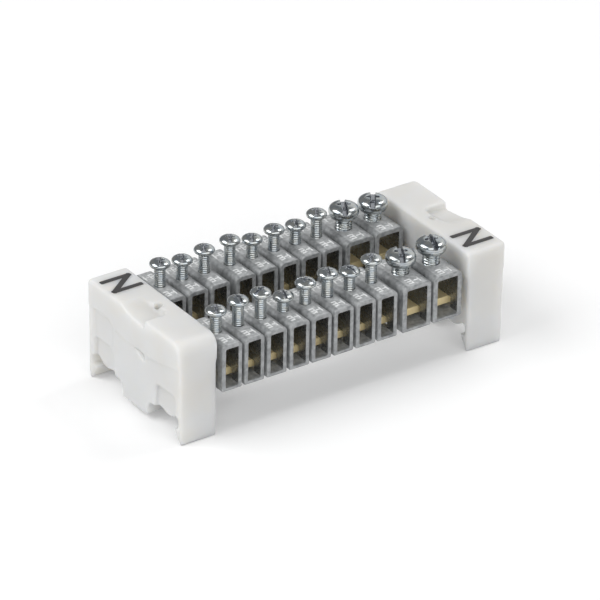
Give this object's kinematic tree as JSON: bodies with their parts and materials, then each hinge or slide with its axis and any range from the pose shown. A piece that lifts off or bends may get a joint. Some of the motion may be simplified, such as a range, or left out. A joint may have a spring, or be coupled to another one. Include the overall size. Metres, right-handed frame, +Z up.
{
  "type": "neutral terminal bar",
  "caption": "Two rows of screw cage clamps threaded on flat bars, held between two moulded clip-on end supports with a neutral mark.",
  "frame": {"origin": "centre of the part, at the level that the feet stand on", "axes": "+X along the bars towards the large clamps, +Y from the front row to the back row, +Z up"},
  "size_m": [0.1306, 0.0558, 0.0433],
  "materials": {
    "moulded_plastic": "satin, slightly translucent",
    "brass": "drawn",
    "dull_zinc": "dull zinc plate",
    "bright_zinc": "bright zinc plate"
  },
  "bodies": {
    "frame": {"support_left": "moulded_plastic", "support_right": "moulded_plastic", "bar_front": "brass", "bar_back": "brass", "cage_front_01": "dull_zinc", "cage_front_02": "dull_zinc", "cage_front_03": "dull_zinc", "cage_front_04": "dull_zinc", "cage_front_05": "dull_zinc", "cage_front_06": "dull_zinc", "cage_front_07": "dull_zinc", "cage_front_08": "dull_zinc", "cage_front_09": "dull_zinc", "cage_front_10": "dull_zinc", "cage_back_01": "dull_zinc", "cage_back_02": "dull_zinc", "cage_back_03": "dull_zinc", "cage_back_04": "dull_zinc", "cage_back_05": "dull_zinc", "cage_back_06": "dull_zinc", "cage_back_07": "dull_zinc", "cage_back_08": "dull_zinc", "cage_back_09": "dull_zinc", "cage_back_10": "dull_zinc"},
    "screw_front_01": {"screw_front_01": "bright_zinc"},
    "screw_front_02": {"screw_front_02": "bright_zinc"},
    "screw_front_03": {"screw_front_03": "bright_zinc"},
    "screw_front_04": {"screw_front_04": "bright_zinc"},
    "screw_front_05": {"screw_front_05": "bright_zinc"},
    "screw_front_06": {"screw_front_06": "bright_zinc"},
    "screw_front_07": {"screw_front_07": "bright_zinc"},
    "screw_front_08": {"screw_front_08": "bright_zinc"},
    "screw_front_09": {"screw_front_09": "bright_zinc"},
    "screw_front_10": {"screw_front_10": "bright_zinc"},
    "screw_back_01": {"screw_back_01": "bright_zinc"},
    "screw_back_02": {"screw_back_02": "bright_zinc"},
    "screw_back_03": {"screw_back_03": "bright_zinc"},
    "screw_back_04": {"screw_back_04": "bright_zinc"},
    "screw_back_05": {"screw_back_05": "bright_zinc"},
    "screw_back_06": {"screw_back_06": "bright_zinc"},
    "screw_back_07": {"screw_back_07": "bright_zinc"},
    "screw_back_08": {"screw_back_08": "bright_zinc"},
    "screw_back_09": {"screw_back_09": "bright_zinc"},
    "screw_back_10": {"screw_back_10": "bright_zinc"}
  },
  "joints": [
    {"name": "screw_front_01_travel", "type": "slide", "parent": "frame", "child": "screw_front_01", "axis": [0, 0, 1], "range_m": [-0.00645, 0.0036]},
    {"name": "screw_front_02_travel", "type": "slide", "parent": "frame", "child": "screw_front_02", "axis": [0, 0, 1], "range_m": [-0.00755, 0.0025]},
    {"name": "screw_front_03_travel", "type": "slide", "parent": "frame", "child": "screw_front_03", "axis": [0, 0, 1], "range_m": [-0.00775, 0.0023]},
    {"name": "screw_front_04_travel", "type": "slide", "parent": "frame", "child": "screw_front_04", "axis": [0, 0, 1], "range_m": [-0.00375, 0.0063]},
    {"name": "screw_front_05_travel", "type": "slide", "parent": "frame", "child": "screw_front_05", "axis": [0, 0, 1], "range_m": [-0.00605, 0.004]},
    {"name": "screw_front_06_travel", "type": "slide", "parent": "frame", "child": "screw_front_06", "axis": [0, 0, 1], "range_m": [-0.00695, 0.0031]},
    {"name": "screw_front_07_travel", "type": "slide", "parent": "frame", "child": "screw_front_07", "axis": [0, 0, 1], "range_m": [-0.00505, 0.005]},
    {"name": "screw_front_08_travel", "type": "slide", "parent": "frame", "child": "screw_front_08", "axis": [0, 0, 1], "range_m": [-0.00695, 0.0031]},
    {"name": "screw_front_09_travel", "type": "slide", "parent": "frame", "child": "screw_front_09", "axis": [0, 0, 1], "range_m": [-0.00315, 0.005]},
    {"name": "screw_front_10_travel", "type": "slide", "parent": "frame", "child": "screw_front_10", "axis": [0, 0, 1], "range_m": [-0.00405, 0.0041]},
    {"name": "screw_back_01_travel", "type": "slide", "parent": "frame", "child": "screw_back_01", "axis": [0, 0, 1], "range_m": [-0.00695, 0.0031]},
    {"name": "screw_back_02_travel", "type": "slide", "parent": "frame", "child": "screw_back_02", "axis": [0, 0, 1], "range_m": [-0.00565, 0.0044]},
    {"name": "screw_back_03_travel", "type": "slide", "parent": "frame", "child": "screw_back_03", "axis": [0, 0, 1], "range_m": [-0.00695, 0.0031]},
    {"name": "screw_back_04_travel", "type": "slide", "parent": "frame", "child": "screw_back_04", "axis": [0, 0, 1], "range_m": [-0.00745, 0.0026]},
    {"name": "screw_back_05_travel", "type": "slide", "parent": "frame", "child": "screw_back_05", "axis": [0, 0, 1], "range_m": [-0.00515, 0.0049]},
    {"name": "screw_back_06_travel", "type": "slide", "parent": "frame", "child": "screw_back_06", "axis": [0, 0, 1], "range_m": [-0.00625, 0.0038]},
    {"name": "screw_back_07_travel", "type": "slide", "parent": "frame", "child": "screw_back_07", "axis": [0, 0, 1], "range_m": [-0.00535, 0.0047]},
    {"name": "screw_back_08_travel", "type": "slide", "parent": "frame", "child": "screw_back_08", "axis": [0, 0, 1], "range_m": [-0.00705, 0.003]},
    {"name": "screw_back_09_travel", "type": "slide", "parent": "frame", "child": "screw_back_09", "axis": [0, 0, 1], "range_m": [-0.00405, 0.0041]},
    {"name": "screw_back_10_travel", "type": "slide", "parent": "frame", "child": "screw_back_10", "axis": [0, 0, 1], "range_m": [-0.00335, 0.0048]}
  ]
}
